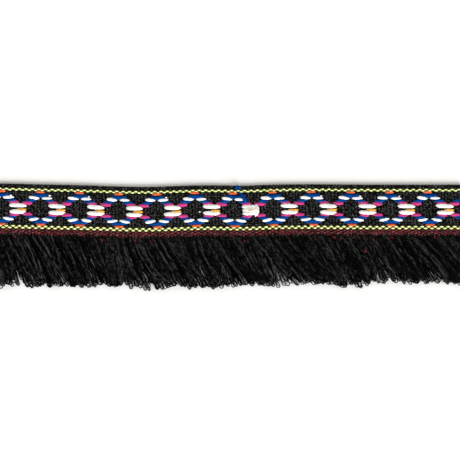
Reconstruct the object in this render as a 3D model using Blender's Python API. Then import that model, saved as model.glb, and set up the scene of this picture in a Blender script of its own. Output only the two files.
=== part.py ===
# A straight cut length of woven brush fringe trim, lying flat with its face up.
# Three pieces, as a narrow loom makes them: the patterned black tape, the maroon heading below it,
# and the fringe of uncut yarn loops, whose roots are held in a narrow black strip.
# X runs along the trim, the fringe points to -Y, the face looks to +Z and the back lies at z = 0.
# Sizes are in millimetres here, and a point is scaled to metres where it enters a mesh.

import math
import random
from collections import namedtuple

import bmesh
import bpy
from mathutils import Vector

MM = 0.001

# Lengths and widths
PICK = 1.25                # one crossing yarn of the weave, measured along the trim
PICKS_IN_REPEAT = 12
REPEATS = 13
PICKS = PICKS_IN_REPEAT * REPEATS
LENGTH = PICK * PICKS
HALF_LENGTH = LENGTH / 2
TAPE_WIDTH = 17.3
HEADING_WIDTH = 2.4
STRIP_WIDTH = 1.3
PIECE_GAP = 0.3            # clear space between neighbouring pieces
HEADING_TOP = -TAPE_WIDTH - PIECE_GAP
STRIP_TOP = HEADING_TOP - HEADING_WIDTH - PIECE_GAP
FRINGE_TOP = STRIP_TOP - STRIP_WIDTH

# Thicknesses
FLOAT_LIFT = 0.38          # how far a coloured float stands up from the ground
FIRST_AXIS = 7             # the pick on which the first gold tick is centred

# One row of the tape's face: how far it lies from the free edge, how high its ground is, the
# centres of its floats and half their length, both in picks, and the share of FLOAT_LIFT they have.
TapeRow = namedtuple("TapeRow", "down ground centres half_length lift")
TAPE_ROWS = (
    TapeRow(0.00, 0.70, (), 1, 0.0),        # rounded free edge
    TapeRow(1.00, 1.10, (), 1, 0.0),        # plain black border
    TapeRow(2.00, 1.30, (), 1, 0.0),        # upper neon line
    TapeRow(3.12, 1.05, (6,), 2, 0.8),      # orange
    TapeRow(4.27, 1.05, (6,), 3, 1.0),      # wide blue
    TapeRow(5.27, 1.05, (4, 8), 2, 1.0),    # small white pair
    TapeRow(6.31, 1.05, (3, 9), 2, 0.8),    # short blue pair
    TapeRow(7.24, 1.05, (2, 10), 2, 1.0),   # pink pair
    TapeRow(8.09, 1.05, (-1,), 3, 1.4),     # big white
    TapeRow(9.70, 1.05, (0,), 2, 0.8),      # gold tick
    TapeRow(10.55, 1.05, (-1,), 3, 1.4),    # big white
    TapeRow(11.78, 1.05, (2, 10), 2, 1.0),  # pink pair
    TapeRow(12.71, 1.05, (3, 9), 2, 0.8),   # short blue pair
    TapeRow(13.55, 1.05, (4, 8), 2, 1.0),   # small white pair
    TapeRow(14.48, 1.05, (6,), 3, 1.0),     # wide blue
    TapeRow(15.52, 1.05, (6,), 2, 0.8),     # orange
    TapeRow(16.50, 1.30, (), 1, 0.0),       # lower neon line
    TapeRow(17.30, 1.00, (), 1, 0.0),       # edge beside the heading
)

# The heading's and the strip's rows: how far down from the piece's own top, and how high.
# A bead is what every other column of the row stands up by.
BandRow = namedtuple("BandRow", "down height bead")
HEADING_ROWS = (
    BandRow(0.00, 1.10, 0.0),
    BandRow(0.75, 1.40, 0.12),
    BandRow(1.60, 1.40, -0.12),
    BandRow(HEADING_WIDTH, 1.25, 0.0),
)
STRIP_ROWS = (
    BandRow(0.00, 1.40, 0.0),
    BandRow(0.50, 1.95, 0.0),
    BandRow(STRIP_WIDTH, 1.95, 0.0),
)
HEADING_COLUMN = 2 * PICK
STRIP_COLUMN = 4 * PICK

# The trim doesn't lie quite straight: each bend has a place, measured from the middle, a depth
# towards the fringe, and a half width.
Bend = namedtuple("Bend", "place depth spread")
BENDS = (
    Bend(-81.4, -0.45, 14.0),
    Bend(-27.4, 0.85, 20.0),
    Bend(10.6, 0.40, 9.0),
    Bend(36.6, -0.15, 14.0),
)

# Between clumps of loops the tips part: the place of each parting along the line of the tips,
# measured from the middle, how wide it opens there, and how far to its sides it pushes the tips.
Parting = namedtuple("Parting", "place opening spread")
PARTINGS = (
    Parting(-71.5, 1.8, 3.5),
    Parting(-58.4, 1.6, 4.0),
    Parting(-42.0, 1.6, 4.0),
    Parting(-33.8, 1.2, 3.5),
    Parting(-22.2, 1.6, 4.0),
    Parting(-4.0, 1.2, 4.0),
    Parting(12.0, 1.4, 4.0),
    Parting(31.7, 2.6, 5.0),
    Parting(43.6, 1.8, 4.0),
    Parting(54.8, 1.6, 4.0),
    Parting(69.8, 2.2, 4.5),
    Parting(90.0, 1.6, 4.0),
)

# Loops lie in layers: the height of a root and of the lying yarn's underside, how the layer's lean
# and length differ from the mean, and the share of a step by which its roots are set along.
Layer = namedtuple("Layer", "root_under under lean shorter shift")
LAYERS = (
    Layer(0.06, 0.00, 1.5, 0.0, 0.10),
    Layer(0.68, 0.80, -3.0, 1.1, 0.45),
    Layer(1.30, 1.60, 2.0, 0.5, 0.78),
)
LOOPS_IN_LAYER = 40
END_MARGIN = 2.0           # bare strip beyond the outermost loops
LOOP_STEP = (LENGTH - 2 * END_MARGIN) / LOOPS_IN_LAYER
YARN_BASE = 0.90           # width of the yarn's flat underside
YARN_HEIGHT = 0.64
ROOT_SCALE = 0.78          # the yarn is drawn in where the heading grips it
ROOT_DEPTH = 0.6           # how far a root reaches into the strip
HALF_OPENING_ROOT = 0.66   # from a loop's middle line to each of its two legs
HALF_OPENING_TIP = 0.80
DROP_LEFT = 15.0           # from the strip's edge to the loops' tips, straight down
DROP_RIGHT = 13.5
DROP_SPREAD = 0.9
LEAN_LEFT = 30.0           # degrees from straight down, towards +X
LEAN_RIGHT = 38.0
LEAN_SPREAD = 0.7
BOW = 0.35                 # how far a loop's middle hangs back from a straight line
TIP_EASE = 1.5             # a parting opens slowly at the roots and fast at the tips
LEG_STEPS = (0.0, 0.28, 0.64, 1.0)
PROBE = 0.01               # a short step along a loop, to read its direction
TIP_ANGLES = (45.0, 90.0, 135.0)
SEED = 11

TRIM_COLLECTION = "brush_fringe_trim"


def clear_scene():
    for item in list(bpy.data.objects):
        bpy.data.objects.remove(item, do_unlink=True)


def make_collection(name):
    collection = bpy.data.collections.new(name)
    bpy.context.scene.collection.children.link(collection)
    return collection


def fabric_material(name, colour, roughness):
    material = bpy.data.materials.new(name)
    material.use_nodes = True
    shader = material.node_tree.nodes["Principled BSDF"]
    shader.inputs["Base Color"].default_value = (*colour, 1.0)
    shader.inputs["Roughness"].default_value = roughness
    shader.inputs["Metallic"].default_value = 0.0
    return material


def bend_at(x):
    return -sum(b.depth * math.exp(-(((x - b.place) / b.spread) ** 2)) for b in BENDS)


def band_object(name, columns, rows, top, height_at, material, collection):
    """A closed band: its face is a grid of points, its back is flat at z = 0."""
    mesh = bpy.data.meshes.new(name)
    grid = bmesh.new()
    bmesh.ops.create_grid(grid, x_segments=columns, y_segments=len(rows) - 1, size=1.0)
    for vertex in grid.verts:
        column = round((vertex.co.x + 1) / 2 * columns)
        row = round((1 - vertex.co.y) / 2 * (len(rows) - 1))
        x = -HALF_LENGTH + LENGTH * column / columns
        y = top - rows[row].down + bend_at(x)
        vertex.co = Vector((x, y, height_at(rows[row], column))) * MM
    close_band(grid, columns)
    grid.to_mesh(mesh)
    grid.free()
    mesh.materials.append(material)
    band = bpy.data.objects.new(name, mesh)
    collection.objects.link(band)
    return band


def close_band(grid, columns):
    """Drop a wall from each long edge, join the walls underneath, and fill the two cut ends."""
    rim = [edge for edge in grid.edges if edge.is_boundary]
    half_column = 0.5 * LENGTH / columns * MM
    long_edges = [edge for edge in rim if abs(edge.verts[0].co.x - edge.verts[1].co.x) > half_column]
    walls = bmesh.ops.extrude_edge_only(grid, edges=long_edges)
    for item in walls["geom"]:
        if isinstance(item, bmesh.types.BMVert):
            item.co.z = 0.0
    lower = [e for e in grid.edges if e.verts[0].co.z == 0.0 and e.verts[1].co.z == 0.0]
    bmesh.ops.bridge_loops(grid, edges=lower)
    bmesh.ops.holes_fill(grid, edges=[edge for edge in grid.edges if edge.is_boundary], sides=0)
    bmesh.ops.recalc_face_normals(grid, faces=grid.faces)


def tape_height(row, column):
    """The ground's height, and on a float the rounded back of its yarn."""
    place = (column - FIRST_AXIS) % PICKS_IN_REPEAT
    swell = 0.0
    for centre in row.centres:
        away = abs((place - centre + PICKS_IN_REPEAT / 2) % PICKS_IN_REPEAT - PICKS_IN_REPEAT / 2)
        swell = max(swell, 1 - (away / row.half_length) ** 2)
    return row.ground + FLOAT_LIFT * row.lift * swell


def band_height(row, column):
    return row.height + row.bead * (1 if column % 2 else -1)


def parting_shift(x):
    """How far the tips at x are pushed along by the partings beside them."""
    shift = 0.0
    for parting in PARTINGS:
        away = (x - parting.place) / parting.spread
        shift += 0.5 * parting.opening * away * math.exp(0.5 - 0.5 * away * away)
    return shift


def loop_points(root_x, layer, drop, lean):
    """One hairpin loop: down one leg, round the tip and back up, with the yarn's scale."""
    slope = math.tan(math.radians(lean + layer.lean))
    deepest = drop - layer.shorter
    tip_shift = parting_shift(root_x + slope * deepest)

    def middle(step):
        down = deepest * step - ROOT_DEPTH * (1 - step)
        bow = BOW * math.sin(math.pi * step)
        x = root_x + slope * deepest * step + tip_shift * step ** TIP_EASE - bow
        return Vector((x, FRINGE_TOP + bend_at(root_x) - down, 0))

    legs = []
    for step in LEG_STEPS:
        ahead = (middle(step + PROBE) - middle(max(step - PROBE, 0.0))).normalized()
        across = Vector((-ahead.y, ahead.x, 0))
        if step == 0.0:
            across = Vector((1, 0, 0))
        opening = HALF_OPENING_ROOT + (HALF_OPENING_TIP - HALF_OPENING_ROOT) * step
        settled = min(step / LEG_STEPS[1], 1.0)
        under = layer.root_under + (layer.under - layer.root_under) * settled
        scale = ROOT_SCALE + (1 - ROOT_SCALE) * settled
        legs.append((middle(step), across * opening, under, scale))
    points = [(mid + across, under, scale) for mid, across, under, scale in legs]
    tip, across, under, scale = legs[-1]
    ahead = (tip - middle(1 - PROBE)).normalized() * across.length
    for angle in TIP_ANGLES:
        turn = math.radians(angle)
        points.append((tip + across * math.cos(turn) + ahead * math.sin(turn), under, scale))
    points += [(mid - across, under, scale) for mid, across, under, scale in reversed(legs)]
    return points


def yarn_profile(collection):
    """The yarn's section: a flat underside, so that it lies level, and a ridge on top."""
    curve = bpy.data.curves.new("yarn_profile", "CURVE")
    curve.dimensions = "2D"
    spline = curve.splines.new("POLY")
    corners = ((-YARN_BASE / 2, 0.0), (YARN_BASE / 2, 0.0), (0.0, YARN_HEIGHT))
    spline.points.add(len(corners) - 1)
    for point, (x, y) in zip(spline.points, corners):
        point.co = (x * MM, y * MM, 0.0, 1.0)
    spline.use_cyclic_u = True
    profile = bpy.data.objects.new("yarn_profile", curve)
    profile.hide_render = True
    profile.display_type = "WIRE"
    collection.objects.link(profile)
    return profile


def loops_object(name, guides):
    """All the loops as one curve of many splines, swept with the yarn's section, then meshed."""
    curve = bpy.data.curves.new(name, "CURVE")
    curve.dimensions = "3D"
    curve.twist_mode = "Z_UP"
    curve.bevel_mode = "OBJECT"
    curve.bevel_object = yarn_profile(guides)
    curve.use_fill_caps = True
    chance = random.Random(SEED)
    for layer in LAYERS:
        for index in range(LOOPS_IN_LAYER):
            root_x = -HALF_LENGTH + END_MARGIN + (index + layer.shift) * LOOP_STEP
            along = index / (LOOPS_IN_LAYER - 1)
            drop = DROP_LEFT + (DROP_RIGHT - DROP_LEFT) * along + chance.uniform(-1, 1) * DROP_SPREAD
            lean = LEAN_LEFT + (LEAN_RIGHT - LEAN_LEFT) * along + chance.uniform(-1, 1) * LEAN_SPREAD
            points = loop_points(root_x, layer, drop, lean)
            spline = curve.splines.new("POLY")
            spline.points.add(len(points) - 1)
            for target, (place, under, scale) in zip(spline.points, points):
                target.co = (place.x * MM, place.y * MM, under * MM, 1.0)
                target.radius = scale
    source = bpy.data.objects.new(name, curve)
    guides.objects.link(source)
    bpy.context.view_layer.update()
    evaluated = source.evaluated_get(bpy.context.evaluated_depsgraph_get())
    mesh = bpy.data.meshes.new_from_object(evaluated)
    bpy.data.objects.remove(source, do_unlink=True)
    welded = bmesh.new()
    welded.from_mesh(mesh)
    bmesh.ops.remove_doubles(welded, verts=welded.verts, dist=0.00001)
    bmesh.ops.recalc_face_normals(welded, faces=welded.faces)
    welded.to_mesh(mesh)
    welded.free()
    loops = bpy.data.objects.new(name, mesh)
    loops.hide_render = True
    loops.display_type = "WIRE"
    guides.objects.link(loops)
    return loops


def fuse(target, other):
    union = target.modifiers.new("fuse_roots", "BOOLEAN")
    union.operation = "UNION"
    union.solver = "EXACT"
    union.object = other


def centre_on_floor(pieces):
    """Put the origin under the middle of the whole trim, with its back on z = 0."""
    bpy.context.view_layer.update()
    graph = bpy.context.evaluated_depsgraph_get()
    corners = []
    for piece in pieces:
        mesh = piece.evaluated_get(graph).to_mesh()
        corners += [vertex.co.copy() for vertex in mesh.vertices]
    low = Vector([min(corner[axis] for corner in corners) for axis in range(3)])
    high = Vector([max(corner[axis] for corner in corners) for axis in range(3)])
    shift = Vector(((low.x + high.x) / 2, (low.y + high.y) / 2, low.z))
    for item in bpy.data.objects:
        item.location = -shift


def main():
    clear_scene()
    trim = make_collection(TRIM_COLLECTION)
    guides = make_collection("guides")
    weave = fabric_material("jacquard_weave", (0.025, 0.025, 0.025), 0.9)
    maroon = fabric_material("maroon_warp", (0.17, 0.03, 0.04), 0.85)
    yarn = fabric_material("fringe_yarn", (0.012, 0.012, 0.013), 0.75)
    tape = band_object("jacquard_tape", PICKS, TAPE_ROWS, 0.0, tape_height, weave, trim)
    heading_columns = round(LENGTH / HEADING_COLUMN)
    heading = band_object("maroon_heading", heading_columns, HEADING_ROWS, HEADING_TOP, band_height,
                          maroon, trim)
    strip_columns = round(LENGTH / STRIP_COLUMN)
    fringe = band_object("looped_fringe", strip_columns, STRIP_ROWS, STRIP_TOP, band_height,
                         yarn, trim)
    fuse(fringe, loops_object("loops", guides))
    centre_on_floor((tape, heading, fringe))


main()
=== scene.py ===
import math
import random

import bpy
import numpy as np
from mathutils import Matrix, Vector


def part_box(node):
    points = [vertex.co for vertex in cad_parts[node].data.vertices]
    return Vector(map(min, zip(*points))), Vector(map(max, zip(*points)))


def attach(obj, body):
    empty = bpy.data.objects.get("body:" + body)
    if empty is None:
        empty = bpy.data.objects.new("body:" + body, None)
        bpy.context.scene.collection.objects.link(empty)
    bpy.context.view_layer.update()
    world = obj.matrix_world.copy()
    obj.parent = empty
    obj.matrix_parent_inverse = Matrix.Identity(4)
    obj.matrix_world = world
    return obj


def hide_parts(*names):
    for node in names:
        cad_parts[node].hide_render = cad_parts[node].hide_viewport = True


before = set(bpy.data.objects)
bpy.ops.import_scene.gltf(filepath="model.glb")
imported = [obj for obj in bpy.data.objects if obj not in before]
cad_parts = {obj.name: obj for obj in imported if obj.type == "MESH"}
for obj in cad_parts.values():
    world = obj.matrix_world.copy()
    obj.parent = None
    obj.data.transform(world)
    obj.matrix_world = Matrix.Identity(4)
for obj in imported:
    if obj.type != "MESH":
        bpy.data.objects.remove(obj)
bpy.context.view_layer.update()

# Every piece is made on the loom: x along the trim from its left end, y = 0 at the free edge
# and minus towards the fringe, z up. layOut then lays it along the gentle bends of the real one.
mm = 0.001

trim = dict(
    pick=1.25 * mm,          # one crossing of the weft
    picksInRepeat=12,
    firstAxis=7,             # the pick of the first gold tick
    tapeWidth=17.3 * mm,
    middle=0.62 * mm,        # height of the weave's middle plane
)

# where the trim runs out of straight: place from its middle, depth towards the fringe, half width
bends = [
    dict(place=-81.4 * mm, depth=-0.45 * mm, spread=14.0 * mm),
    dict(place=-27.4 * mm, depth=0.85 * mm, spread=20.0 * mm),
    dict(place=10.6 * mm, depth=0.40 * mm, spread=9.0 * mm),
    dict(place=36.6 * mm, depth=-0.15 * mm, spread=14.0 * mm),
]

tapeLow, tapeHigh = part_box("jacquard_tape")
leftEnd = tapeLow[0]
trimLength = tapeHigh[0] - tapeLow[0]
trimMiddle = leftEnd + trimLength / 2
picks = round(trimLength / trim["pick"])


def bendAt(x):
    total = 0.0
    for bend in bends:
        away = (x - trimMiddle - bend["place"]) / bend["spread"]
        total = total - bend["depth"] * np.exp(-(away ** 2))
    return total


# how far the picks slant back towards the free edge, read along the trim
slants = dict(place=[0.0, 60.0 * mm, 90.0 * mm, 196.0 * mm], slant=[0.0, 0.0, 0.055, 0.065])

freeEdge = tapeHigh[1] - float(np.max(bendAt(np.linspace(tapeLow[0], tapeHigh[0], 400))))


# Node helpers

def newTree(name, inputs):
    tree = bpy.data.node_groups.new(name, "GeometryNodeTree")
    tree.interface.new_socket("Geometry", in_out="INPUT", socket_type="NodeSocketGeometry")
    for label, kind, value in inputs:
        socket = tree.interface.new_socket(label, in_out="INPUT", socket_type=kind)
        if value is not None:
            socket.default_value = value
    tree.interface.new_socket("Geometry", in_out="OUTPUT", socket_type="NodeSocketGeometry")
    return tree, tree.nodes.new("NodeGroupInput").outputs, tree.nodes.new("NodeGroupOutput").inputs


def addNode(tree, kind, sockets=None, **settings):
    node = tree.nodes.new(kind)
    for key, value in settings.items():
        setattr(node, key, value)
    for key, value in (sockets or {}).items():
        if isinstance(value, bpy.types.NodeSocket):
            tree.links.new(value, node.inputs[key])
        else:
            node.inputs[key].default_value = value
    return node


def reckon(tree, operation, first, second=0.0):
    return addNode(tree, "ShaderNodeMath", {0: first, 1: second}, operation=operation).outputs[0]


def storeValue(tree, geometry, name, value, kind="FLOAT"):
    sockets = {"Geometry": geometry, "Name": name, "Value": value}
    return addNode(tree, "GeometryNodeStoreNamedAttribute", sockets, data_type=kind,
                   domain="POINT").outputs[0]


def readValue(tree, name, kind="FLOAT"):
    return addNode(tree, "GeometryNodeInputNamedAttribute", {"Name": name}, data_type=kind).outputs[0]


# One yarn swept along a path. The path carries its half width (thick) and how flat it lies (flat);
# the yarn keeps where it is along its length and round its section, for the ply grooves.
yarnInputs = [
    ("Sides", "NodeSocketInt", 8),
    ("Plies", "NodeSocketInt", 3),
    ("Ply depth", "NodeSocketFloat", 0.0),
    ("Twist", "NodeSocketFloat", 0.0),
    ("Finish", "NodeSocketMaterial", None),
]


def buildSweepTree():
    tree, given, result = newTree("sweepYarn", yarnInputs)
    path = addNode(tree, "GeometryNodeMeshToCurve", {"Mesh": given["Geometry"]}).outputs[0]
    path = addNode(tree, "GeometryNodeSetCurveNormal", {"Curve": path}, mode="Z_UP").outputs[0]
    reached = addNode(tree, "GeometryNodeSplineParameter").outputs["Length"]
    path = storeValue(tree, path, "along", reached)
    path = storeValue(tree, path, "centre", addNode(tree, "GeometryNodeInputPosition").outputs[0],
                      "FLOAT_VECTOR")
    tilt = reckon(tree, "MULTIPLY", readValue(tree, "along"), given["Twist"])
    path = addNode(tree, "GeometryNodeSetCurveTilt", {"Curve": path, "Tilt": tilt}).outputs[0]

    ring = addNode(tree, "GeometryNodeCurvePrimitiveCircle",
                   {"Resolution": given["Sides"], "Radius": 1.0}).outputs[0]
    place = addNode(tree, "GeometryNodeInputPosition").outputs[0]
    ring = storeValue(tree, ring, "ring", place, "FLOAT_VECTOR")
    split = addNode(tree, "ShaderNodeSeparateXYZ", {0: place}).outputs
    angle = reckon(tree, "ARCTAN2", split[1], split[0])
    lobe = reckon(tree, "COSINE", reckon(tree, "MULTIPLY", angle, given["Plies"]))
    lobe = reckon(tree, "ADD", reckon(tree, "MULTIPLY", lobe, given["Ply depth"]), 1.0)
    swollen = addNode(tree, "ShaderNodeVectorMath", {0: place, "Scale": lobe}, operation="SCALE")
    ring = addNode(tree, "GeometryNodeSetPosition", {"Geometry": ring, "Position": swollen.outputs[0]})

    yarn = addNode(tree, "GeometryNodeCurveToMesh", {
        "Curve": path, "Profile Curve": ring.outputs[0], "Scale": readValue(tree, "thick"),
        "Fill Caps": True}).outputs[0]
    centre = readValue(tree, "centre", "FLOAT_VECTOR")
    away = addNode(tree, "ShaderNodeVectorMath",
                   {0: addNode(tree, "GeometryNodeInputPosition").outputs[0], 1: centre},
                   operation="SUBTRACT").outputs[0]
    squash = addNode(tree, "ShaderNodeCombineXYZ", {0: 1.0, 1: 1.0, 2: readValue(tree, "flat")})
    away = addNode(tree, "ShaderNodeVectorMath", {0: away, 1: squash.outputs[0]},
                   operation="MULTIPLY").outputs[0]
    place = addNode(tree, "ShaderNodeVectorMath", {0: centre, 1: away}, operation="ADD").outputs[0]
    yarn = addNode(tree, "GeometryNodeSetPosition", {"Geometry": yarn, "Position": place}).outputs[0]
    yarn = addNode(tree, "GeometryNodeSetShadeSmooth", {"Geometry": yarn}).outputs[0]
    yarn = addNode(tree, "GeometryNodeRealizeInstances", {"Geometry": yarn}).outputs[0]
    yarn = addNode(tree, "GeometryNodeSetMaterial", {"Geometry": yarn, "Material": given["Finish"]})
    tree.links.new(yarn.outputs[0], result["Geometry"])
    return tree


# One warp end in plain weave: over one pick and under the next, all along the trim.
def buildPlainEndTree(sweepTree):
    tree, given, result = newTree("plainEnd", yarnInputs + [
        ("Picks", "NodeSocketInt", 10),
        ("Steps in a pick", "NodeSocketInt", 4),
        ("Pick", "NodeSocketFloat", trim["pick"]),
        ("Down", "NodeSocketFloat", 0.0),
        ("Height", "NodeSocketFloat", 0.0),
        ("Swing", "NodeSocketFloat", 0.0),
        ("Squareness", "NodeSocketFloat", 1.3),
        ("Half width", "NodeSocketFloat", 0.0),
        ("Flatness", "NodeSocketFloat", 0.8),
        ("Thinner below", "NodeSocketFloat", 0.27),
        ("Phase", "NodeSocketFloat", 0.0),
        ("Wander", "NodeSocketFloat", 0.0),
        ("Wanders in a pick", "NodeSocketFloat", 0.55),
        ("Seed", "NodeSocketFloat", 0.0),
    ])
    count = reckon(tree, "ADD", reckon(tree, "MULTIPLY", given["Picks"], given["Steps in a pick"]), 1.0)
    step = reckon(tree, "DIVIDE", given["Pick"], given["Steps in a pick"])
    start = addNode(tree, "ShaderNodeCombineXYZ", {
        0: 0.0, 1: reckon(tree, "MULTIPLY", given["Down"], -1.0), 2: given["Height"]}).outputs[0]
    offset = addNode(tree, "ShaderNodeCombineXYZ", {0: step, 1: 0.0, 2: 0.0}).outputs[0]
    path = addNode(tree, "GeometryNodeMeshLine",
                   {"Count": count, "Start Location": start, "Offset": offset}, mode="OFFSET").outputs[0]
    place = addNode(tree, "GeometryNodeInputPosition").outputs[0]
    x = addNode(tree, "ShaderNodeSeparateXYZ", {0: place}).outputs[0]
    crossings = reckon(tree, "SUBTRACT", reckon(tree, "DIVIDE", x, given["Pick"]), 0.5)
    turn = reckon(tree, "MULTIPLY", reckon(tree, "ADD", crossings, given["Phase"]), math.pi)
    wave = reckon(tree, "MULTIPLY", reckon(tree, "COSINE", turn), given["Squareness"])
    wave = reckon(tree, "MAXIMUM", reckon(tree, "MINIMUM", wave, 1.0), -1.0)
    drift = addNode(tree, "ShaderNodeTexNoise", {
        "W": reckon(tree, "ADD", crossings, given["Seed"]), "Scale": given["Wanders in a pick"],
        "Detail": 1.0}, noise_dimensions="1D").outputs[0]
    drift = reckon(tree, "MULTIPLY", reckon(tree, "SUBTRACT", drift, 0.5), given["Wander"])
    lift = reckon(tree, "MULTIPLY", wave, given["Swing"])
    move = addNode(tree, "ShaderNodeCombineXYZ", {0: 0.0, 1: drift, 2: lift}).outputs[0]
    path = addNode(tree, "GeometryNodeSetPosition", {"Geometry": path, "Offset": move}).outputs[0]
    below = reckon(tree, "MULTIPLY", reckon(tree, "SUBTRACT", 1.0, wave), 0.5)
    plump = reckon(tree, "SUBTRACT", 1.0, reckon(tree, "MULTIPLY", below, given["Thinner below"]))
    path = storeValue(tree, path, "thick", reckon(tree, "MULTIPLY", plump, given["Half width"]))
    path = storeValue(tree, path, "flat", given["Flatness"])
    sweep = addNode(tree, "GeometryNodeGroup", node_tree=sweepTree)
    tree.links.new(path, sweep.inputs["Geometry"])
    for label, _, _ in yarnInputs:
        tree.links.new(given[label], sweep.inputs[label])
    tree.links.new(sweep.outputs[0], result["Geometry"])
    return tree


sweepYarn = buildSweepTree()
plainEnd = buildPlainEndTree(sweepYarn)


# Making pieces

# Run a tree on an object and keep the result as a plain mesh.
def growMesh(source, tree, values):
    modifier = source.modifiers.new(tree.name, "NODES")
    modifier.node_group = tree
    for item in tree.interface.items_tree:
        if item.in_out == "INPUT" and item.name in values:
            modifier[item.identifier] = values[item.name]
    bpy.context.view_layer.update()
    graph = bpy.context.evaluated_depsgraph_get()
    mesh = bpy.data.meshes.new_from_object(source.evaluated_get(graph))
    source.modifiers.clear()
    bpy.data.objects.remove(source, do_unlink=True)
    return mesh


def newObject(name, mesh):
    item = bpy.data.objects.new(name, mesh)
    bpy.context.scene.collection.objects.link(item)
    return item


# From the loom to the table: along the bends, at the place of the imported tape.
def layOut(mesh):
    count = len(mesh.vertices)
    points = np.empty(count * 3)
    mesh.vertices.foreach_get("co", points)
    points = points.reshape(-1, 3)
    aboveFringe = np.clip(points[:, 1] + trim["tapeWidth"], 0.0, None)
    points[:, 0] -= np.interp(points[:, 0], slants["place"], slants["slant"]) * aboveFringe
    points[:, 0] += leftEnd
    points[:, 1] += freeEdge + bendAt(points[:, 0])
    mesh.vertices.foreach_set("co", points.ravel())
    mesh.update()


def joinMeshes(name, meshes):
    items = [newObject(name, mesh) for mesh in meshes]
    with bpy.context.temp_override(active_object=items[0], selected_objects=items,
                                   selected_editable_objects=items):
        if len(items) > 1:
            bpy.ops.object.join()
    return items[0]


# Each path is a list of (x, y, z, thick, flat); all of them make one mesh of edges, and each
# path gets a shade of its own, within the range given. A darker range is painted shade for
# strands that lie under others.
def pathObject(name, paths, shadeRange):
    chance = random.Random(name)
    points = [point for path in paths for point in path]
    shades = []
    for path in paths:
        shades += [chance.uniform(*shadeRange)] * len(path)
    edges = []
    first = 0
    for path in paths:
        edges += [(first + i, first + i + 1) for i in range(len(path) - 1)]
        first += len(path)
    mesh = bpy.data.meshes.new(name)
    mesh.from_pydata([point[:3] for point in points], edges, [])
    for index, label in ((3, "thick"), (4, "flat")):
        values = mesh.attributes.new(label, "FLOAT", "POINT")
        values.data.foreach_set("value", [point[index] for point in points])
    mesh.attributes.new("shade", "FLOAT", "POINT").data.foreach_set("value", shades)
    return newObject(name, mesh)


def settle(piece, replaced=()):
    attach(piece, "root")
    if replaced:
        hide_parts(*replaced)
    return piece


def yarnPiece(name, paths, values, replaced=(), shadeRange=(0.0, 1.0)):
    mesh = growMesh(pathObject(name + "Path", paths, shadeRange), sweepYarn, values)
    layOut(mesh)
    print(name, len(mesh.polygons), "faces")
    return settle(newObject(name, mesh), replaced)


# Several plain-weave ends as one piece; ends is a list of value sets, one for each.
def endsPiece(name, ends, shared, replaced=()):
    meshes = []
    for end in ends:
        seedObject = newObject(name + "Seed", bpy.data.meshes.new(name + "Seed"))
        meshes.append(growMesh(seedObject, plainEnd, {**shared, **end}))
    piece = joinMeshes(name, meshes)
    layOut(piece.data)
    print(name, len(piece.data.polygons), "faces")
    return settle(piece, replaced)


# Finishes

yarnLook = dict(plies=2, pitch=1.6 * mm, rough=0.75, shine=0.2, lightness=0.75, grooveDepth=0.5,
                fleck=0.7, patchy=0.5, patchScale=700.0, strandShade=0.0, contrast=1.0,
                mottle=0.0, crown=0.0, bump=0.35, glow=0.0, streaks=False,
                fibreScale=6500.0, cloudScale=260.0, crownFrom=0.8, fibreRelief=0.6,
                reliefDepth=0.12 * mm)
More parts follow.
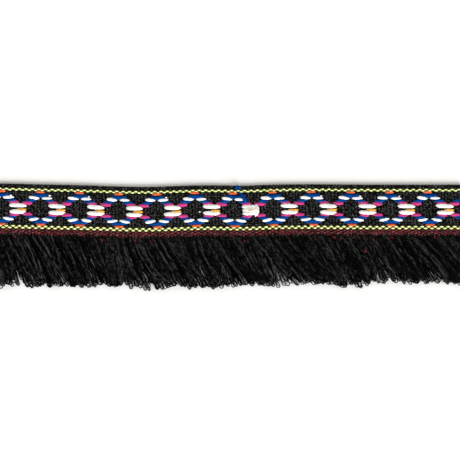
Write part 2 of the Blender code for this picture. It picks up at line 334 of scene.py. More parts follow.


# Plied yarn: grooves wound round it with painted shade in them, fine fibres along it, slow changes
# of tone that on some yarns are painted glints and highlight streaks, and strands that are lighter
# or darker than their neighbours. Some yarns also get painted light and shade on clumps, a painted
# highlight on the side facing up and a painted glow.
def yarnFinish(name, colour, groove, **changes):
    look = {**yarnLook, **changes}
    finish = bpy.data.materials.new(name)
    finish.use_nodes = True
    tree = finish.node_tree
    shader = tree.nodes["Principled BSDF"]
    ring = addNode(tree, "ShaderNodeAttribute", attribute_name="ring").outputs["Vector"]
    along = addNode(tree, "ShaderNodeAttribute", attribute_name="along").outputs["Fac"]
    shade = addNode(tree, "ShaderNodeAttribute", attribute_name="shade").outputs["Fac"]
    split = addNode(tree, "ShaderNodeSeparateXYZ", {0: ring}).outputs
    angle = reckon(tree, "MULTIPLY", reckon(tree, "ARCTAN2", split[1], split[0]), float(look["plies"]))
    wind = reckon(tree, "MULTIPLY", along, 2 * math.pi / look["pitch"])
    ply = reckon(tree, "SINE", reckon(tree, "ADD", angle, wind))
    ply = reckon(tree, "ADD", reckon(tree, "MULTIPLY", ply, 0.5), 0.5)
    place = addNode(tree, "ShaderNodeTexCoord").outputs["Object"]
    fibres = addNode(tree, "ShaderNodeTexNoise",
                     {"Vector": place, "Scale": look["fibreScale"], "Detail": 3.0})
    # Painted highlight streaks: the patches run along each strand, a different run for each strand.
    if look["streaks"]:
        place = addNode(tree, "ShaderNodeCombineXYZ", {0: along, 1: shade, 2: 0.0}).outputs[0]
    # Slow patches of tone. Where they are strong and contrast skews them, as on the ground and the
    # fringe, they are painted glints and highlight streaks.
    patches = addNode(tree, "ShaderNodeTexNoise",
                      {"Vector": place, "Scale": look["patchScale"], "Detail": 2.0})
    parts = [
        # Painted shade in the ply grooves: the colour darkens where the surface dips between plies.
        reckon(tree, "MULTIPLY", reckon(tree, "SUBTRACT", ply, 0.5), look["grooveDepth"]),
        reckon(tree, "MULTIPLY", reckon(tree, "SUBTRACT", fibres.outputs[0], 0.5), look["fleck"]),
        reckon(tree, "MULTIPLY", reckon(tree, "SUBTRACT", patches.outputs[0], 0.5), 2 * look["patchy"]),
        reckon(tree, "MULTIPLY", reckon(tree, "SUBTRACT", shade, 0.5), look["strandShade"]),
    ]
    # Painted light and shade on clumps: lighter and darker clouds in object space.
    if look["mottle"]:
        clouds = addNode(tree, "ShaderNodeTexNoise", {
            "Vector": addNode(tree, "ShaderNodeTexCoord").outputs["Object"], "Scale": look["cloudScale"]})
        parts.append(reckon(tree, "MULTIPLY", reckon(tree, "SUBTRACT", clouds.outputs[0], 0.5),
                            look["mottle"]))
    # Painted highlight on the side facing up: lighter where the normal points up.
    if look["crown"]:
        facing = addNode(tree, "ShaderNodeNewGeometry").outputs["Normal"]
        facing = addNode(tree, "ShaderNodeSeparateXYZ", {0: facing}).outputs[2]
        facing = reckon(tree, "SUBTRACT", facing, look["crownFrom"])
        parts.append(reckon(tree, "MULTIPLY", facing, look["crown"]))
    level = look["lightness"]
    for part in parts:
        level = reckon(tree, "ADD", part, level)
    level = reckon(tree, "POWER", reckon(tree, "MAXIMUM", level, 0.0), look["contrast"])
    # The dark end takes the painted groove shade as well as the darker tones.
    mix = addNode(tree, "ShaderNodeMix", {0: level, 6: (*groove, 1.0), 7: (*colour, 1.0)},
                  data_type="RGBA")
    tree.links.new(mix.outputs[2], shader.inputs["Base Color"])
    height = reckon(tree, "ADD", ply, reckon(tree, "MULTIPLY", fibres.outputs[0], look["fibreRelief"]))
    relief = addNode(tree, "ShaderNodeBump", {
        "Strength": look["bump"], "Distance": look["reliefDepth"], "Height": height})
    tree.links.new(relief.outputs[0], shader.inputs["Normal"])
    shader.inputs["Roughness"].default_value = look["rough"]
    shader.inputs["Specular IOR Level"].default_value = look["shine"]
    # Painted glow: the yarn gives off its own colour as light, though it is no lamp.
    if look["glow"]:
        tree.links.new(mix.outputs[2], shader.inputs["Emission Color"])
        shader.inputs["Emission Strength"].default_value = look["glow"]
    return finish


finishes = dict(
    # Ground: strong patches, skewed by contrast, paint glint specks into the black.
    ground=yarnFinish("groundYarn", (0.16, 0.16, 0.16), (0.0003, 0.0003, 0.0003), rough=0.5,
                      lightness=0.34, grooveDepth=0.25, fleck=1.0, patchy=2.2, patchScale=2100.0,
                      contrast=3.0, shine=0.08),
    # Plain near-black: painted shadow for the inside of the weave, seen between the yarns.
    shade=yarnFinish("insideOfWeave", (0.001, 0.001, 0.001), (0.0004, 0.0004, 0.0004), shine=0.0),
    # Neon: greener dark end as painted shade, a painted highlight on the side facing up and a painted
    # glow.
    neon=yarnFinish("neonYarn", (1.0, 1.0, 0.50), (0.28, 0.46, 0.03), glow=0.15, grooveDepth=0.4,
                    fleck=0.8, crown=1.6, lightness=0.85),
    orange=yarnFinish("orangeYarn", (0.76, 0.14, 0.045), (0.45, 0.06, 0.02)),
    blue=yarnFinish("blueYarn", (0.0003, 0.062, 0.29), (0.0002, 0.022, 0.12), shine=0.04),
    # White: painted glow.
    white=yarnFinish("whiteYarn", (0.96, 0.96, 0.94), (0.78, 0.78, 0.80), grooveDepth=0.4, glow=0.08),
    pink=yarnFinish("pinkYarn", (0.64, 0.050, 0.25), (0.40, 0.02, 0.14)),
    gold=yarnFinish("goldYarn", (0.90, 0.46, 0.055), (0.55, 0.20, 0.01)),
    maroon=yarnFinish("maroonYarn", (0.30, 0.056, 0.064), (0.004, 0.001, 0.001), lightness=0.62,
                      patchy=1.5, patchScale=1500.0, shine=0.12, contrast=1.8),
    maroonBright=yarnFinish("maroonEdgeYarn", (0.42, 0.030, 0.042), (0.003, 0.001, 0.001),
                            lightness=0.45, patchy=2.4, patchScale=900.0, shine=0.12, contrast=2.0),
    # Fringe: painted highlight streaks along the strands, painted light and shade on clumps, and darker
    # strands in the lower layers.
    fringe=yarnFinish("fringeYarn", (0.042, 0.042, 0.043), (0.0001, 0.0001, 0.0001), rough=0.40,
                      shine=0.05, lightness=0.38, grooveDepth=0.3, fleck=0.7, patchy=1.5,
                      patchScale=560.0, streaks=True, strandShade=1.0, mottle=0.5, contrast=3.2,
                      bump=0.5),
)
print("finishes made")


# The weft: each pick is one yarn that comes up from the fringe, turns at the free edge and goes
# back beside itself, over and under the warp.
weft = dict(
    halfWidth=0.235 * mm,
    apart=0.23 * mm,         # from the pick's middle to each of its two yarns
    turnDown=0.42 * mm,      # where the turn at the free edge starts
    swing=0.09 * mm,
    binderStep=0.98 * mm,    # from one black warp end to the next
    stepsInBinder=2,
    end=20.6 * mm,
    sway=0.05 * mm,
    swayLength=3 * mm,
    uneven=0.02 * mm,
    plump=(0.94, 1.06),
    flat=0.95,
    turnAngles=(0.25, 0.5, 0.75),
    seed=3,
)


def weftPaths():
    chance = random.Random(weft["seed"])
    paths = []
    steps = int((weft["end"] - weft["turnDown"]) / weft["binderStep"] * weft["stepsInBinder"])
    for pick in range(picks):
        middle = (pick + 0.5) * trim["pick"]
        sway = chance.uniform(-weft["sway"], weft["sway"])
        legs = []
        for side in (-1, 1):
            leg = []
            for step in range(steps + 1):
                down = weft["end"] - (weft["end"] - weft["turnDown"]) * step / steps
                phase = math.pi * (down / weft["binderStep"] + pick)
                up = trim["middle"] + weft["swing"] * math.cos(phase)
                up += chance.uniform(-weft["uneven"], weft["uneven"])
                x = middle + side * weft["apart"] + sway * math.sin(down / weft["swayLength"] + pick)
                thick = weft["halfWidth"] * chance.uniform(*weft["plump"])
                leg.append((x, -down, up, thick, weft["flat"]))
            legs.append(leg)
        turn = []
        for angle in weft["turnAngles"]:
            x = middle - weft["apart"] * math.cos(math.pi * angle)
            y = -weft["turnDown"] + weft["apart"] * math.sin(math.pi * angle)
            turn.append((x, y, trim["middle"], weft["halfWidth"], weft["flat"]))
        paths.append(legs[0] + turn + legs[1][::-1])
    return paths


core = dict(thickness=0.12 * mm, inset=0.15 * mm, end=20.4 * mm, rows=12)


# The cloth itself as a thin closed sheet, in the middle plane of its yarns. Its plain near-black
# finish is painted shadow, seen through the gaps between the yarns.
def buildCore():
    bpy.ops.mesh.primitive_grid_add(x_subdivisions=picks // 2, y_subdivisions=core["rows"], size=1.0)
    sheet = bpy.context.active_object
    sheet.name = "wovenGround"
    mesh = sheet.data
    width = core["end"] - core["inset"]
    for vertex in mesh.vertices:
        vertex.co.x = (vertex.co.x + 0.5) * trimLength
        vertex.co.y = -core["inset"] - (0.5 - vertex.co.y) * width
        vertex.co.z = trim["middle"] - core["thickness"] / 2
    solid = sheet.modifiers.new("thickness", "SOLIDIFY")
    solid.thickness = core["thickness"]
    solid.offset = 1.0
    bpy.context.view_layer.update()
    graph = bpy.context.evaluated_depsgraph_get()
    made = bpy.data.meshes.new_from_object(sheet.evaluated_get(graph))
    bpy.data.objects.remove(sheet, do_unlink=True)
    # The sheet's finish is painted shadow.
    made.materials.append(finishes["shade"])
    layOut(made)
    return settle(newObject("wovenGround", made), ("jacquard_tape",))


wovenGround = buildCore()
yarnPiece("weftYarns", weftPaths(),
          {"Sides": 5, "Plies": 2, "Ply depth": 0.0, "Finish": finishes["ground"]})

# Black warp ends between the coloured ones
binders = dict(first=0.45 * mm, last=16.8 * mm, halfWidth=0.13 * mm, swing=0.30 * mm,
               lift=0.04 * mm, flatness=0.9, wander=0.35 * mm, seedStep=7.3)


def binderEnds():
    ends = []
    down = binders["first"]
    index = 0
    while down < binders["last"]:
        ends.append({"Down": down, "Phase": float(index % 2),
                     "Seed": binders["seedStep"] * index})
        down += weft["binderStep"]
        index += 1
    return ends


endsPiece("blackWarp", binderEnds(), {
    "Picks": picks, "Steps in a pick": 4, "Sides": 5,
    "Height": trim["middle"] + binders["lift"], "Swing": binders["swing"],
    "Half width": binders["halfWidth"], "Flatness": binders["flatness"],
    "Wander": binders["wander"], "Finish": finishes["ground"]})

# The two neon lines, each of two ends that come up by turns
neonShared = {
    "Picks": picks, "Steps in a pick": 5, "Sides": 8, "Plies": 3, "Ply depth": 0.06,
    "Twist": 1500.0, "Flatness": 0.8, "Wander": 0.10 * mm, "Thinner below": 0.65,
    "Finish": finishes["neon"]}
neonLines = dict(
    upper=dict(downs=(2.02 * mm, 2.46 * mm), changes={
        "Height": 0.70 * mm, "Swing": 0.44 * mm, "Squareness": 1.1, "Half width": 0.28 * mm}),
    lower=dict(downs=(16.30 * mm, 16.94 * mm), changes={
        "Height": 0.60 * mm, "Swing": 0.48 * mm, "Squareness": 0.9, "Half width": 0.37 * mm}),
)
for label, line in neonLines.items():
    ends = [{"Down": down, "Phase": float(index), "Seed": down / mm}
            for index, down in enumerate(line["downs"])]
    endsPiece(label + "NeonLine", ends, {**neonShared, **line["changes"]})

# The maroon heading: plain weave over the picks that go on into the fringe
maroonDowns = (17.62 * mm, 18.18 * mm, 18.74 * mm)
maroonShared = {
    "Picks": picks, "Steps in a pick": 5, "Height": 0.60 * mm, "Swing": 0.46 * mm, "Sides": 7,
    "Plies": 2, "Ply depth": 0.0, "Twist": 0.0, "Squareness": 0.9, "Flatness": 0.85,
    "Half width": 0.35 * mm, "Wander": 0.22 * mm, "Thinner below": 0.7,
    "Finish": finishes["maroon"]}
endsPiece(
    "maroonHeading",
    [{"Down": down, "Phase": float(index % 2), "Seed": 3.1 * index}
     for index, down in enumerate(maroonDowns)],
    maroonShared, ("maroon_heading",))
endsPiece(
    "maroonEdge", [{"Down": 19.28 * mm, "Phase": 1.0, "Seed": 11.7, "Height": 0.46 * mm}],
    {**maroonShared, "Finish": finishes["maroonBright"], "Half width": 0.25 * mm, "Wander": 0.7 * mm})
print("warp and weft made")


# The pattern: each float is a stretch where a coloured warp end lies on the face. One row for
# each float of the repeat, and floats with the same end number lie on one and the same yarn.
floatColumns = ("end", "colour", "down", "at", "length", "wide", "high", "tilt", "bow", "fat")
floatTable = (
    # down, length, wide, high, tilt and bow in mm, at in picks from the gold tick's axis
    (0, "orange", 3.12, 5.95, 3.4, 1.00, 0.50, 0.00, -0.18, 0.0),
    (1, "blue", 4.30, 6.12, 6.4, 1.68, 0.48, 0.00, 0.22, 0.0),
    (2, "white", 5.25, 4.00, 4.0, 1.22, 0.56, 0.30, 0.00, -0.35),
    (2, "white", 5.36, 8.0, 4.0, 1.05, 0.56, 0.10, 0.00, -0.30),
    (3, "blue", 6.33, 2.95, 3.9, 1.20, 0.52, -0.25, 0.00, 0.0),
    (3, "blue", 6.40, 9.0, 3.8, 1.20, 0.52, 0.15, 0.00, 0.0),
    (4, "pink", 7.30, 1.97, 4.0, 1.30, 0.52, 0.20, 0.15, 0.35),
    (4, "pink", 7.15, 9.85, 3.7, 1.15, 0.50, 0.00, 0.00, 0.0),
    (5, "white", 8.38, 11.0, 6.5, 1.72, 0.74, 0.25, -0.05, -0.25),
    (6, "gold", 9.85, 0.1, 3.7, 0.98, 0.60, 0.10, 0.00, 0.2),
    (7, "white", 10.80, 11.0, 6.5, 1.68, 0.74, 0.05, 0.05, -0.25),
    (8, "pink", 11.85, 1.97, 4.0, 1.25, 0.52, 0.10, -0.12, 0.1),
    (8, "pink", 11.95, 9.85, 3.7, 1.10, 0.50, 0.00, 0.00, 0.0),
    (9, "blue", 12.78, 3.0, 3.8, 1.20, 0.52, 0.25, 0.00, 0.0),
    (9, "blue", 12.78, 9.0, 3.8, 1.20, 0.52, -0.20, 0.00, 0.0),
    (10, "white", 13.60, 4.05, 4.0, 1.15, 0.56, -0.45, 0.00, -0.2),
    (10, "white", 13.62, 8.0, 4.0, 1.15, 0.56, 0.50, 0.00, -0.25),
    (11, "blue", 14.50, 6.0, 6.4, 1.72, 0.48, 0.00, -0.22, 0.0),
    (12, "orange", 15.50, 6.0, 3.5, 0.98, 0.50, 0.00, 0.18, 0.0),
)
floats = [dict(zip(floatColumns, row)) for row in floatTable]
floatLook = dict(
    bed=0.90 * mm,           # where a float lies on the picks
    backHeight=0.20 * mm,
    backHalfWidth=0.19 * mm,
    backFlat=0.8,
    stations=(-1.0, -0.96, -0.86, -0.66, -0.36, 0.0, 0.36, 0.66, 0.86, 0.96, 1.0),
    fullness=3.2,            # higher is blunter at the ends
    fatShift=0.45,
    diveFrom=0.8,            # share of the half length
    dive=0.42 * mm,
    slopeLength=0.55 * mm,   # from a float's end to its back run
    endMargin=0.3 * mm,      # a float this near to a cut end is left out
)
floatVary = dict(length=(0.95, 1.06), wide=(0.94, 1.07), high=(0.92, 1.06), down=0.07, tilt=0.14,
                 bow=0.04, along=0.16)


# The visible stretch of a coloured end: a fat lens that dives at both ends.
def floatPoints(one, middle, chance):
    def vary(name):
        return chance.uniform(-floatVary[name], floatVary[name])

    half = one["length"] * mm / 2 * chance.uniform(*floatVary["length"])
    wide = one["wide"] * mm / 2 * chance.uniform(*floatVary["wide"])
    high = one["high"] * mm / 2 * chance.uniform(*floatVary["high"])
    down = (one["down"] + vary("down")) * mm
    tilt = (one["tilt"] + vary("tilt")) * mm
    bow = (one["bow"] + vary("bow")) * mm
    middle += vary("along") * mm
    points = []
    for u in floatLook["stations"]:
        shifted = u - one["fat"] * floatLook["fatShift"] * (1 - u * u)
        lens = max(1 - abs(shifted) ** floatLook["fullness"], 0.0) ** 0.5
        thick = max(wide * lens, floatLook["backHalfWidth"])
        tall = max(high * lens, 0.75 * floatLook["backHalfWidth"])
        dived = max(abs(u) - floatLook["diveFrom"], 0.0) / (1 - floatLook["diveFrom"])
        up = floatLook["bed"] + tall - floatLook["dive"] * dived
        y = -(down + tilt * u / 2 + bow * (1 - u * u))
        points.append((middle + half * u, y, up, thick, tall / thick))
    return points


def colouredPaths(colour):
    chance = random.Random("floats of " + colour)
    paths = []
    for end in sorted({one["end"] for one in floats if one["colour"] == colour}):
        own = sorted((one for one in floats if one["end"] == end), key=lambda one: one["at"])
        stretches = []
        for repeat in range(-1, picks // trim["picksInRepeat"] + 1):
            for one in own:
                axis = trim["firstAxis"] + repeat * trim["picksInRepeat"]
                middle = (axis + one["at"]) * trim["pick"]
                points = floatPoints(one, middle, chance)
                margin = floatLook["endMargin"]
                if points[0][0] > margin and points[-1][0] < trimLength - margin:
                    stretches.append(points)
        down = own[0]["down"] * mm
        back = (floatLook["backHeight"], floatLook["backHalfWidth"], floatLook["backFlat"])
        slope = floatLook["slopeLength"]
        path = [(0.0, -down, *back)]
        for points in stretches:
            start, stop = points[0], points[-1]
            if start[0] - path[-1][0] > 1.5 * mm:
                path.append((start[0] - slope, start[1], *back))
            path += points
            path.append((stop[0] + slope, stop[1], *back))
        path = [point for i, point in enumerate(path)
                if i == 0 or point[0] > path[i - 1][0] + 0.02 * mm]
        path.append((trimLength, -down, *back))
        paths.append(path)
    return paths


for colour in ("orange", "blue", "white", "pink", "gold"):
    yarnPiece(colour + "Warp", colouredPaths(colour),
              {"Sides": 10, "Plies": 3, "Ply depth": 0.07, "Twist": 1300.0, "Finish": finishes[colour]})

# Small accidents of the real one, each a short path: along and down in mm, up in mm above the bed
# of the floats, and half its width in mm.
accidentColumns = ("along", "down", "up", "half")
accidentTables = dict(
    pulledBlueEnd=("blue", (
        (108.4, 3.1, -0.50, 0.20), (107.9, 2.4, -0.30, 0.28), (107.4, 1.6, -0.05, 0.40),
        (107.3, 0.9, 0.15, 0.55), (107.9, 0.35, 0.25, 0.62), (108.6, 0.55, 0.20, 0.60),
        (108.7, 1.2, 0.00, 0.45), (108.4, 1.9, -0.30, 0.28), (108.5, 2.7, 0.00, 0.40),
        (109.1, 3.5, 0.35, 0.70), (109.9, 4.5, 0.50, 0.85), (110.5, 5.5, 0.50, 0.85),
        (110.9, 6.4, 0.35, 0.65), (111.0, 7.3, -0.10, 0.40), (111.0, 7.8, -0.50, 0.20))),
    strayWhite=("white", (
        (109.2, 9.6, -0.40, 0.20), (109.9, 9.6, 0.10, 0.60), (110.9, 9.4, 0.35, 0.85),
        (112.0, 9.5, 0.45, 0.95), (113.3, 9.6, 0.50, 1.00), (114.4, 9.8, 0.45, 0.95),
        (115.2, 9.9, 0.20, 0.70), (115.7, 10.0, -0.40, 0.30))),
    strayWhiteEdge=("white", (
        (114.3, 7.3, -0.20, 0.30), (114.8, 7.9, 0.35, 0.55), (115.2, 9.0, 0.55, 0.60),
        (115.2, 10.3, 0.55, 0.60), (114.8, 11.4, 0.35, 0.55), (114.2, 12.0, -0.20, 0.30))),
    strayTick=("gold", (
        (111.6, 9.8, 0.80, 0.20), (112.3, 9.75, 1.25, 0.24), (113.1, 9.65, 1.28, 0.22),
        (113.7, 9.6, 0.90, 0.15))),
)
for name, (colour, table) in accidentTables.items():
    rows = [dict(zip(accidentColumns, row)) for row in table]
    path = [(row["along"] * mm, -row["down"] * mm, floatLook["bed"] + row["up"] * mm,
             row["half"] * mm, 0.6) for row in rows]
    yarnPiece(name, [path], {"Sides": 10, "Plies": 3, "Ply depth": 0.1, "Twist": 1500.0,
                             "Finish": finishes[colour]})

# Where a white end goes to the back it often shows as a speck: place in picks from the gold
# tick's axis, down in mm, and how often it shows.
whiteSpecks = (dict(at=8.95, down=4.55, share=0.6), dict(at=7.1, down=10.25, share=0.18))
speckLook = dict(size=(0.22, 0.34), aside=0.2, updown=0.15, flat=0.7, seed=31)
speckShape = ((-1.3, -0.4, 0.4), (-0.6, 0.1, 0.8), (0.1, 0.25, 1.0), (0.8, 0.1, 0.8), (1.4, -0.4, 0.4))
chance = random.Random(speckLook["seed"])
speckPaths = []
for repeat in range(-1, picks // trim["picksInRepeat"]):
    for speck in whiteSpecks:
        x = (trim["firstAxis"] + repeat * trim["picksInRepeat"] + speck["at"]) * trim["pick"]
        x += chance.uniform(-speckLook["aside"], speckLook["aside"]) * mm
        y = -(speck["down"] + chance.uniform(-speckLook["updown"], speckLook["updown"])) * mm
        size = chance.uniform(*speckLook["size"]) * mm
        if chance.random() < speck["share"] and x > 2 * mm:
            speckPaths.append([
                (x + step * size, y, floatLook["bed"] + lift * mm, size * wide, speckLook["flat"])
                for step, lift, wide in speckShape])
yarnPiece("whiteSpecks", speckPaths, {"Sides": 8, "Plies": 3, "Ply depth": 0.0,
                                      "Finish": finishes["white"]})
print("pattern made")


# The fringe: every pick leaves the heading as a bundle of loops, one in each of five layers that
# lie on each other. How it was brushed, read along the trim: how far the strands lean to the
# right from straight down in degrees, and how much longer than the mean they are in mm.
brushedColumns = ("place", "lean", "longer")
brushedTable = (
    (0.0, 24, 0.0), (20.2, 22, 0.1), (29.1, 32, 0.0), (37.9, 31, 0.0), (46.4, 26, -0.3),
    (55.6, 26, -0.5), (64.1, 16, -0.4), (73.3, 26, 0.9), (81.8, 30, 0.0), (90.7, 26, 0.6),
    (99.5, 30, 0.9), (108.4, 34, 0.1), (112.0, 30, -1.0), (117.2, 26, 0.6), (126.1, 38, 0.7),
    (134.9, 37, -0.3), (143.8, 33, 0.5), (150.4, 32, 1.4), (161.5, 31, -0.8), (170.4, 35, 0.0),
    (179.2, 40, -0.3), (188.1, 36, 0.0), (196.0, 36, 0.0),
)
brushed = {name: [row[i] for row in brushedTable] for i, name in enumerate(brushedColumns)}
fringe = dict(
    rootDown=19.9 * mm,
    halfWidth=0.19 * mm,
    dropLeft=19.9 * mm,      # from the root to the longest tips
    dropRight=18.3 * mm,
    halfOpening=0.20 * mm,   # between the loop's middle line and each leg
    tipOpening=(0.28 * mm, 0.85 * mm),     # the same at the tip
    legSteps=13,
    halfReach=5.5 * mm,      # how far along a strand has leant at half its length
    leanVary=1.5,            # degrees
    shortVary=1.5,
    shortMost=3.4,
    plump=(0.85, 1.15),
    heightVary=0.08,
    crossedShare=0.3,
    crossedLift=0.16 * mm,
    settledAt=0.16,          # share of the length in which a strand comes up to its layer
    sink=0.25,               # how much of its height it loses towards the tip
    turnLength=1.25,         # the turn's reach over its half width
    turnPlaces=((0.1, 30), (0.3, 62), (0.5, 90), (0.7, 118), (0.9, 150)),
    seed=19,
)
# waves of a strand: fewest and most in its length, and size
strandWaves = dict(
    sway=(0.8, 1.6, 0.16 * mm),
    longCrimp=(2.5, 5.5, 0.075 * mm),
    shortCrimp=(5.5, 8.0, 0.04 * mm),
    heave=(2.0, 5.0, 0.09 * mm),
)
lockLook = dict(width=(1.8, 6.0), lean=4.0, bow=0.7, pull=(0.1, 0.5), shorter=0.8, crown=0.35,
                beyond=4 * mm)
layers = [
    dict(height=0.22 * mm, shift=0.50, freedom=0.30, shorter=0.0 * mm, parts=0.6),
    dict(height=0.55 * mm, shift=0.00, freedom=0.45, shorter=0.3 * mm, parts=0.8),
    dict(height=0.88 * mm, shift=0.30, freedom=0.75, shorter=0.1 * mm, parts=1.0),
    dict(height=1.22 * mm, shift=0.46, freedom=1.00, shorter=0.5 * mm, parts=1.1),
    dict(height=1.56 * mm, shift=0.36, freedom=1.25, shorter=0.9 * mm, parts=1.2),
]
# where the tips part, in mm: place along the line of the tips from the trim's middle, width and
# reach; a layer's parts value is how much of this it takes
partings = [
    dict(place=-71.5, opening=1.8, spread=3.5), dict(place=-58.4, opening=1.6, spread=4.0),
    dict(place=-42.0, opening=1.6, spread=4.0), dict(place=-33.8, opening=1.2, spread=3.5),
    dict(place=-22.2, opening=1.6, spread=4.0), dict(place=-4.0, opening=1.2, spread=4.0),
    dict(place=12.0, opening=1.4, spread=4.0), dict(place=31.7, opening=2.6, spread=5.0),
    dict(place=43.6, opening=1.8, spread=4.0), dict(place=54.8, opening=1.6, spread=4.0),
    dict(place=69.8, opening=2.2, spread=4.5), dict(place=90.0, opening=1.6, spread=4.0),
]


def brushedAt(x, name):
    return float(np.interp(x / mm, brushed["place"], brushed[name]))


def partingShift(x):
    fromMiddle = (x - trimLength / 2) / mm
    shift = 0.0
    for parting in partings:
        away = (fromMiddle - parting["place"]) / parting["spread"]
        shift += 0.5 * parting["opening"] * away * math.exp(0.5 - 0.5 * away * away)
    return shift * mm


# Neighbouring loops of one layer lie together in locks, each with its own lean and length.
def makeLocks(freedom, chance):
    locks = []
    x = -lockLook["beyond"]
    while x < trimLength + lockLook["beyond"]:
        width = chance.uniform(*lockLook["width"]) * mm
        locks.append(dict(
            start=x, end=x + width, middle=x + width / 2,
            lean=chance.gauss(0, lockLook["lean"]) * freedom,
            bow=chance.gauss(0, lockLook["bow"]) * mm * freedom,
            pull=chance.uniform(*lockLook["pull"]) * min(freedom, 1),
            shorter=abs(chance.gauss(0, lockLook["shorter"])) * mm,
            crown=chance.uniform(0.0, lockLook["crown"]) * mm * freedom))
        x += width
    return locks


def lockAt(locks, x):
    for lock in locks:
        if lock["start"] <= x < lock["end"]:
            return lock
    return locks[-1]


def wave(chance, shortest, longest, size):
    return dict(turns=chance.uniform(shortest, longest), start=chance.uniform(0, 2 * math.pi),
                size=size * chance.uniform(0.5, 1.3))


def waveAt(waves, t):
    return sum(one["size"] * math.sin(one["turns"] * 2 * math.pi * t + one["start"]) for one in waves)


def loopPath(rootX, layer, lock, chance):
    along = rootX / trimLength
    lean = brushedAt(rootX + fringe["halfReach"], "lean") + lock["lean"]
    lean = math.radians(lean + chance.gauss(0, fringe["leanVary"]) * layer["freedom"])
    longest = fringe["dropLeft"] + (fringe["dropRight"] - fringe["dropLeft"]) * along
    tipX = rootX + longest * math.tan(lean)
    longest += brushedAt(tipX, "longer") * mm
    drop = longest - layer["shorter"] - lock["shorter"]
    drop -= min(abs(chance.gauss(0, fringe["shortVary"])), fringe["shortMost"]) * mm
    pull = (lock["middle"] - rootX) * lock["pull"]
    parted = partingShift(tipX) * layer["parts"]
    opening = chance.uniform(*fringe["tipOpening"])
    crossed = chance.random() < fringe["crossedShare"]
    crowned = 1 - ((rootX - lock["middle"]) / (lock["end"] - lock["start"]) * 2) ** 2
    height = layer["height"] + lock["crown"] * crowned
    height += chance.uniform(-fringe["heightVary"], fringe["heightVary"]) * mm
    thick = fringe["halfWidth"] * chance.uniform(*fringe["plump"])
    steps = fringe["legSteps"]
    sway = [wave(chance, *strandWaves["sway"])]

    def middle(t):
        x = rootX + drop * t * math.tan(lean) + pull * t ** 1.5 + parted * t ** 3
        x += lock["bow"] * math.sin(math.pi * t) + waveAt(sway, t) * min(3 * t, 1.0)
        return x, -(fringe["rootDown"] + drop * t)

    legs = []
    for side in (-1, 1):
        crimp = [wave(chance, *strandWaves[name]) for name in ("longCrimp", "shortCrimp")]
        heave = [wave(chance, *strandWaves["heave"])]
        leg = []
        for step in range(steps + 1):
            t = step / steps
            x, y = middle(t)
            beforeX, beforeY = middle(max(t - 0.02, 0.0))
            afterX, afterY = middle(t + 0.02)
            length = math.hypot(afterX - beforeX, afterY - beforeY)
            acrossX, acrossY = -(afterY - beforeY) / length, (afterX - beforeX) / length
            spread = fringe["halfOpening"] + (opening - fringe["halfOpening"]) * t ** 6
            lift = waveAt(heave, t) * min(4 * t, 1.0)
            if crossed:
                spread *= math.cos(math.pi * t)
                lift += side * fringe["crossedLift"] * math.sin(math.pi * t)
            loose = min(4 * t, 1.0) * min(6 * (1 - t), 1.0)
            sideways = side * spread + waveAt(crimp, t) * loose
            settled = min(t / fringe["settledAt"], 1.0)
            up = trim["middle"] + (height - trim["middle"]) * settled * (2 - settled) + lift
            up = max(up - fringe["sink"] * (height - 0.2 * mm) * t * t, thick)
            leg.append((x + acrossX * sideways, y + acrossY * sideways, up, thick, 1.0))
        legs.append(leg)
    first, last = legs[0][-1], legs[1][-1]
    tipX, tipY = (first[0] + last[0]) / 2, (first[1] + last[1]) / 2
    halfX, halfY = (first[0] - last[0]) / 2, (first[1] - last[1]) / 2
    aheadX, aheadY = math.sin(lean), -math.cos(lean)
    reach = math.hypot(halfX, halfY) * fringe["turnLength"]
    turn = []
    for share, angle in fringe["turnPlaces"]:
        c, s = math.cos(math.radians(angle)), math.sin(math.radians(angle))
        up = first[2] + (last[2] - first[2]) * share
        turn.append((tipX + halfX * c + aheadX * reach * s,
                     tipY + halfY * c + aheadY * reach * s, up, thick, 1.0))
    return legs[0] + turn + legs[1][::-1]


def fringePaths():
    chance = random.Random(fringe["seed"])
    paths = []
    for layer in layers:
        locks = makeLocks(layer["freedom"], chance)
        own = []
        for pick in range(picks):
            rootX = (pick + layer["shift"] + chance.uniform(-0.12, 0.12)) * trim["pick"]
            own.append(loopPath(rootX, layer, lockAt(locks, rootX), chance))
        paths.append(own)
    return paths


layerPaths = fringePaths()
fringeValues = {"Sides": 6, "Plies": 2, "Ply depth": 0.0, "Finish": finishes["fringe"]}
# Lower layers get darker shade ranges: painted shade on the strands that lie under the upper ones.
yarnPiece("fringeLower", layerPaths[0] + layerPaths[1], fringeValues,
          ("looped_fringe",), (0.0, 0.7))
yarnPiece("fringeMiddle", layerPaths[2] + layerPaths[3], fringeValues, (), (0.0, 0.95))
yarnPiece("fringeUpper", layerPaths[4], fringeValues, (), (0.1, 1.1))

# Bits of maroon yarn caught among the roots of the fringe, most of them towards the right
strays = dict(count=26, middle=153 * mm, spread=16 * mm, everywhere=0.5, down=(19.9, 21.6),
              size=(0.25, 0.6), half=(0.10, 0.17), height=1.75, seed=47)
strayShape = ((-1.0, -0.2, 0.4), (-0.4, 0.2, 0.9), (0.3, 0.25, 1.0), (1.0, -0.1, 0.5))
chance = random.Random(strays["seed"])
strayPaths = []
for index in range(strays["count"]):
    x = chance.gauss(strays["middle"], strays["spread"])
    if chance.random() < strays["everywhere"]:
        x = chance.uniform(2 * mm, trimLength - 2 * mm)
    y = -chance.uniform(*strays["down"]) * mm
    size = chance.uniform(*strays["size"]) * mm
    lean = math.radians(chance.uniform(0, 60))
    strayPaths.append((x, y, size, lean, chance.uniform(*strays["half"]) * mm))
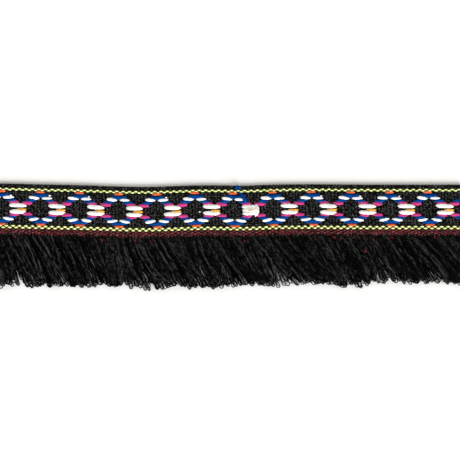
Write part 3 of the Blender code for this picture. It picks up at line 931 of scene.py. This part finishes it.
# two more, further down the fringe
strayPaths.append((156.1 * mm, -25.6 * mm, 0.75 * mm, math.radians(38), 0.34 * mm))
strayPaths.append((162.9 * mm, -23.6 * mm, 0.5 * mm, math.radians(30), 0.16 * mm))
yarnPiece("strayMaroon", [
    [(x + step * size * math.sin(lean), y - step * size * math.cos(lean),
      (strays["height"] + lift) * mm, half * wide, 0.8)
     for step, lift, wide in strayShape]
    for x, y, size, lean, half in strayPaths
], {"Sides": 6, "Plies": 2, "Ply depth": 0.0, "Finish": finishes["maroonBright"]})
print("fringe made")


# The table, the light and the camera
photo = dict(wide=460, middleRow=230, edgeRow=184.4, pixel=0.385 * mm)
view = dict(
    photoWide=photo["wide"] * photo["pixel"],
    centreFromLeft=104.15 * mm,
    centreDown=(photo["middleRow"] - photo["edgeRow"]) * photo["pixel"],
    height=1.2,
    sensor=36.0,
)

# A light tent: bright walls, a darker roof, and a window of light from the fringe's side
light = dict(wall=1.54, roof=0.06, wallTop=0.45, roofStart=0.85, wallColour=(1.04, 1.0, 0.925),
             window=3.75, windowColour=(0.969, 1.0, 1.058), softness=42.0, elevation=22.0,
             fromRight=32.0)

paperLook = dict(size=6.0, under=0.05 * mm, colour=(0.93, 0.93, 0.93, 1.0), rough=0.9, shine=0.1)

bpy.ops.mesh.primitive_plane_add(size=paperLook["size"], location=(0, 0, -paperLook["under"]))
floor = bpy.context.active_object
floor.name = "floor"
paper = bpy.data.materials.new("whitePaper")
paper.use_nodes = True
surface = paper.node_tree.nodes["Principled BSDF"].inputs
surface["Base Color"].default_value = paperLook["colour"]
surface["Roughness"].default_value = paperLook["rough"]
surface["Specular IOR Level"].default_value = paperLook["shine"]
floor.data.materials.append(paper)

world = bpy.data.worlds.new("studio")
world.use_nodes = True
sky = world.node_tree.nodes["Background"]
upward = addNode(world.node_tree, "ShaderNodeTexCoord").outputs["Generated"]
upward = addNode(world.node_tree, "ShaderNodeSeparateXYZ", {0: upward}).outputs[2]
tent = addNode(world.node_tree, "ShaderNodeMapRange", {
    "Value": upward, "From Min": light["wallTop"], "From Max": light["roofStart"],
    "To Min": light["wall"], "To Max": light["roof"]})
world.node_tree.links.new(tent.outputs[0], sky.inputs["Strength"])
sky.inputs["Color"].default_value = (*light["wallColour"], 1.0)
bpy.context.scene.world = world

lamp = bpy.data.lights.new("window", "SUN")
lamp.energy = light["window"]
lamp.color = light["windowColour"]
lamp.angle = math.radians(light["softness"])
lampObject = newObject("window", lamp)
lampObject.rotation_euler = (math.radians(90 - light["elevation"]), 0.0,
                             math.radians(light["fromRight"]))

camera = bpy.data.cameras.new("camera")
camera.sensor_width = view["sensor"]
camera.lens = view["sensor"] * view["height"] / view["photoWide"]
camera.clip_start = 0.01
camera.clip_end = 20.0
cameraObject = newObject("camera", camera)
cameraObject.location = (leftEnd + view["centreFromLeft"], freeEdge - view["centreDown"],
                         view["height"])
bpy.context.scene.camera = cameraObject
bpy.context.scene.view_settings.view_transform = "Standard"
bpy.context.scene.view_settings.look = "None"
print("stage set")
